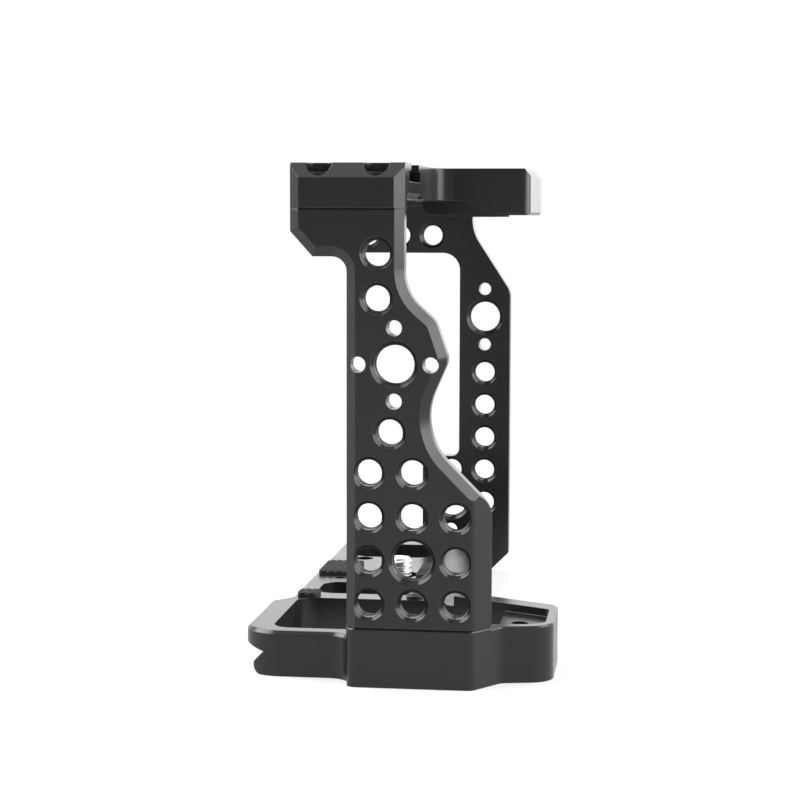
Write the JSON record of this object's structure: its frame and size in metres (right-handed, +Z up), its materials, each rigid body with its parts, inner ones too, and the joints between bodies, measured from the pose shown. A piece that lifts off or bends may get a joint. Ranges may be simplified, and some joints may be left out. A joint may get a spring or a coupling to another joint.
{
  "type": "camera cage",
  "caption": "Metal cage that goes round a mirrorless camera, with threaded holes in its side plates, a looped roof, a rail base and a captive camera screw.",
  "frame": {"origin": "the middle of the underside of the part's box: the base's flat underside is at z = 0", "axes": "+X from the grip side plate to the port side plate, along the camera's back; +Y to the rear, away from the lens; +Z up"},
  "size_m": [0.1366, 0.0642, 0.1053],
  "materials": {
    "cage": "satin black anodised",
    "fastener": "black oxide",
    "dowel": "ground",
    "pad": "matt black, ribbed",
    "camera_screw": "bright"
  },
  "bodies": {
    "frame": {"base_plate": "cage", "grip_side_plate": "cage", "port_side_plate": "cage", "top_plate": "cage", "grip_roof_screws": "fastener", "port_roof_screws": "fastener", "grip_base_screws": "fastener", "port_base_screws": "fastener", "grip_roof_dowels": "dowel", "grip_base_dowels": "dowel", "port_roof_dowel": "dowel", "port_base_dowel": "dowel", "button_screw": "fastener", "rear_pad": "pad", "bar_pad": "pad", "port_pad": "pad", "front_pad": "pad", "loop_pads": "pad"},
    "clip": {"screw_clip": "dowel"},
    "screw": {"camera_screw": "camera_screw"}
  },
  "joints": [
    {"name": "screw_lift", "type": "slide", "parent": "frame", "child": "clip", "axis": [0, 0, 1], "range_m": [0, 0.0013]},
    {"name": "screw_turn", "type": "hinge", "parent": "clip", "child": "screw", "pos_m": [0.00675, 0.00795, 0.0095], "axis": [0, 0, 1], "continuous": true}
  ]
}
